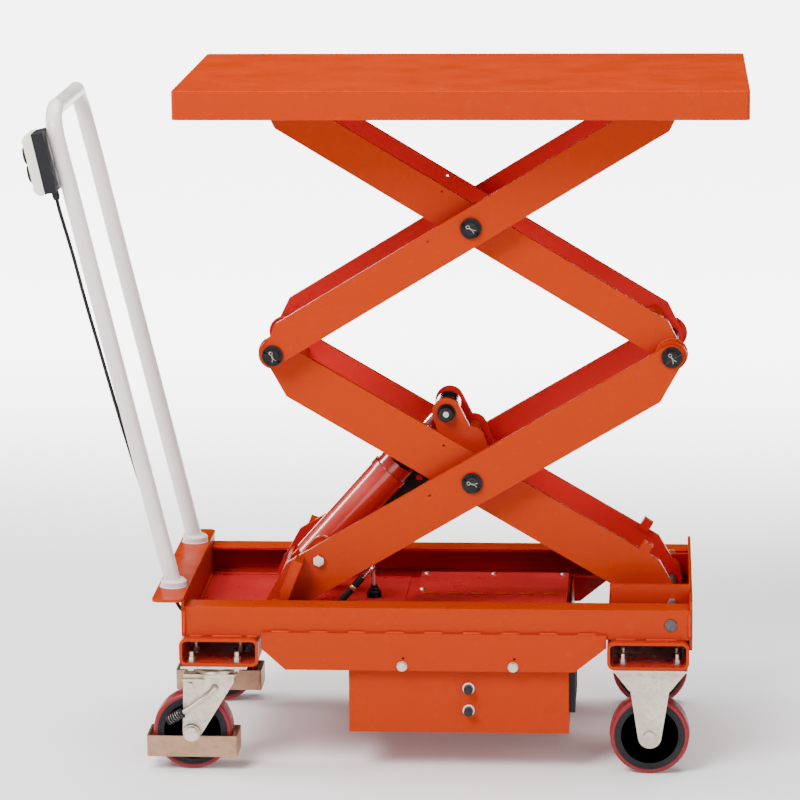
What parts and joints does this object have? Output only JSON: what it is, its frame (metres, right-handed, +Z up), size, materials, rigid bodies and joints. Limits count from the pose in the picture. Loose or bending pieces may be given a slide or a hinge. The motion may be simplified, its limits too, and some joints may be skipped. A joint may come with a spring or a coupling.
{
  "type": "scissor lift table",
  "caption": "Wheeled hydraulic lift table: a flat top on a double scissor over a channel base with casters, a battery box, a ram and a tall push handle with a button box.",
  "frame": {"origin": "on the floor, under the middle of the bounding box", "axes": "+X away from the push handle, +Y across the table away from the control box, +Z up"},
  "size_m": [1.1559, 0.5, 1.1177],
  "materials": {
    "orange_paint": "gloss enamel",
    "white_paint": "gloss enamel",
    "zinc": "zinc plated",
    "steel": "machined",
    "chrome": "polished",
    "black_steel": "black oxide",
    "cast_core": "black coated",
    "tyre_red": "polyurethane tread",
    "tan_steel": "passivated strip",
    "black_plastic": "moulded",
    "grey_plastic": "moulded",
    "white_plastic": "moulded",
    "rubber": "hose and cable sheath"
  },
  "bodies": {
    "base": {"rails": "orange_paint", "end_plates": "orange_paint", "floor_tray": "orange_paint", "skirts": "orange_paint", "caster_channels": "orange_paint", "battery_box": "orange_paint", "battery_lid": "orange_paint", "battery": "grey_plastic", "motor": "black_steel", "pump": "steel", "charger": "grey_plastic", "frame_bolts": "zinc", "hose": "rubber", "lowering_valve": "black_steel", "fuse_holders": "black_plastic", "handle": "white_paint", "control_back": "grey_plastic", "control_cover": "white_plastic", "cable_glands": "grey_plastic", "cable": "rubber", "pivot_shaft": "steel", "caster_plates": "zinc", "right_forks": "zinc"},
    "raise_button": {"raise_button": "black_plastic"},
    "lower_button": {"lower_button": "black_plastic"},
    "lower_inner": {"lower_inner_arms": "orange_paint", "lower_inner_tubes": "orange_paint", "ram_bracket": "orange_paint", "lower_inner_pins": "black_steel"},
    "lower_outer": {"lower_outer_arms": "orange_paint", "roller_carrier": "orange_paint", "mid_right_axle": "black_steel", "arm_bolts": "zinc"},
    "upper_outer": {"upper_outer_arms": "orange_paint"},
    "upper_inner": {"upper_inner_arms": "orange_paint", "upper_inner_tubes": "orange_paint", "upper_centre_pins": "black_steel"},
    "table": {"table_top": "orange_paint", "table_rails": "orange_paint", "table_shaft": "steel"},
    "ram_rod": {"ram_rod": "chrome"},
    "ram_barrel": {"ram_barrel": "orange_paint", "service_prop": "black_steel"},
    "lower_rollers": {"base_rollers": "steel"},
    "upper_rollers": {"table_rollers": "steel"},
    "caster_near": {"left_fork_near": "zinc", "guard_near": "tan_steel"},
    "caster_far": {"left_fork_far": "zinc", "guard_far": "tan_steel"},
    "brake_near": {"lever_near": "zinc"},
    "brake_far": {"lever_far": "zinc"},
    "wheel_left_near": {"core_left_near": "cast_core", "tyre_left_near": "tyre_red"},
    "wheel_left_far": {"core_left_far": "cast_core", "tyre_left_far": "tyre_red"},
    "wheel_right_near": {"core_right_near": "cast_core", "tyre_right_near": "tyre_red"},
    "wheel_right_far": {"core_right_far": "cast_core", "tyre_right_far": "tyre_red"}
  },
  "joints": [
    {"name": "lift", "type": "hinge", "parent": "base", "child": "lower_inner", "pos_m": [0.46, 0, 0.251], "axis": [0, 1, 0], "range_deg": [-26, 8.5]},
    {"name": "lower_scissor", "type": "hinge", "parent": "lower_inner", "child": "lower_outer", "pos_m": [0.13711, 0, 0.46069], "axis": [0, 1, 0], "range_deg": [-18, 53]},
    {"name": "mid_pivot", "type": "hinge", "parent": "lower_inner", "child": "upper_outer", "pos_m": [-0.18578, 0, 0.67037], "axis": [0, 1, 0], "range_deg": [-18, 53]},
    {"name": "upper_scissor", "type": "hinge", "parent": "upper_outer", "child": "upper_inner", "pos_m": [0.13711, 0, 0.88006], "axis": [0, 1, 0], "range_deg": [-53, 18]},
    {"name": "table_pivot", "type": "hinge", "parent": "upper_outer", "child": "table", "pos_m": [0.46, 0, 1.08974], "axis": [0, 1, 0], "range_deg": [-27, 9.5]},
    {"name": "ram_swing", "type": "hinge", "parent": "lower_outer", "child": "ram_barrel", "pos_m": [-0.11494, 0, 0.3292], "axis": [0, 1, 0], "range_deg": [-4, 4]},
    {"name": "ram_stroke", "type": "slide", "parent": "ram_barrel", "child": "ram_rod", "axis": [0.6628, 0, 0.7488], "range_m": [-0.1, 0.034]},
    {"name": "base_roller_spin", "type": "hinge", "parent": "lower_outer", "child": "lower_rollers", "pos_m": [-0.18578, 0, 0.251], "axis": [0, 1, 0], "continuous": true},
    {"name": "table_roller_spin", "type": "hinge", "parent": "upper_inner", "child": "upper_rollers", "pos_m": [-0.18578, 0, 1.08974], "axis": [0, 1, 0], "continuous": true},
    {"name": "caster_near_swivel", "type": "hinge", "parent": "base", "child": "caster_near", "pos_m": [-0.278, -0.194, 0.165], "axis": [0, 0, 1], "continuous": true},
    {"name": "caster_far_swivel", "type": "hinge", "parent": "base", "child": "caster_far", "pos_m": [-0.278, 0.194, 0.165], "axis": [0, 0, 1], "continuous": true},
    {"name": "brake_near_lever", "type": "hinge", "parent": "caster_near", "child": "brake_near", "pos_m": [-0.278, -0.194, 0.141], "axis": [0, 1, 0], "range_deg": [-10, 15]},
    {"name": "brake_far_lever", "type": "hinge", "parent": "caster_far", "child": "brake_far", "pos_m": [-0.278, 0.194, 0.141], "axis": [0, 1, 0], "range_deg": [-10, 15]},
    {"name": "wheel_left_near_spin", "type": "hinge", "parent": "caster_near", "child": "wheel_left_near", "pos_m": [-0.317, -0.194, 0.065], "axis": [0, 1, 0], "continuous": true},
    {"name": "wheel_left_far_spin", "type": "hinge", "parent": "caster_far", "child": "wheel_left_far", "pos_m": [-0.317, 0.194, 0.065], "axis": [0, 1, 0], "continuous": true},
    {"name": "wheel_right_near_spin", "type": "hinge", "parent": "base", "child": "wheel_right_near", "pos_m": [0.427, -0.194, 0.065], "axis": [0, 1, 0], "continuous": true},
    {"name": "wheel_right_far_spin", "type": "hinge", "parent": "base", "child": "wheel_right_far", "pos_m": [0.427, 0.194, 0.065], "axis": [0, 1, 0], "continuous": true},
    {"name": "raise_press", "type": "slide", "parent": "base", "child": "raise_button", "axis": [0.9774, 0, 0.2113], "range_m": [0, 0.004], "stiffness_N_per_m": 400},
    {"name": "lower_press", "type": "slide", "parent": "base", "child": "lower_button", "axis": [0.9774, 0, 0.2113], "range_m": [0, 0.004], "stiffness_N_per_m": 400}
  ],
  "couplings": [
    {"joint": "lower_scissor", "follows": "lift", "ratio": -2},
    {"joint": "mid_pivot", "follows": "lift", "ratio": -2},
    {"joint": "upper_scissor", "follows": "lift", "ratio": 2},
    {"joint": "table_pivot", "follows": "lift", "ratio": 1},
    {"joint": "ram_swing", "follows": "lift", "ratio": 0.1},
    {"joint": "ram_stroke", "follows": "lift", "m_per_rad": 0.212}
  ]
}
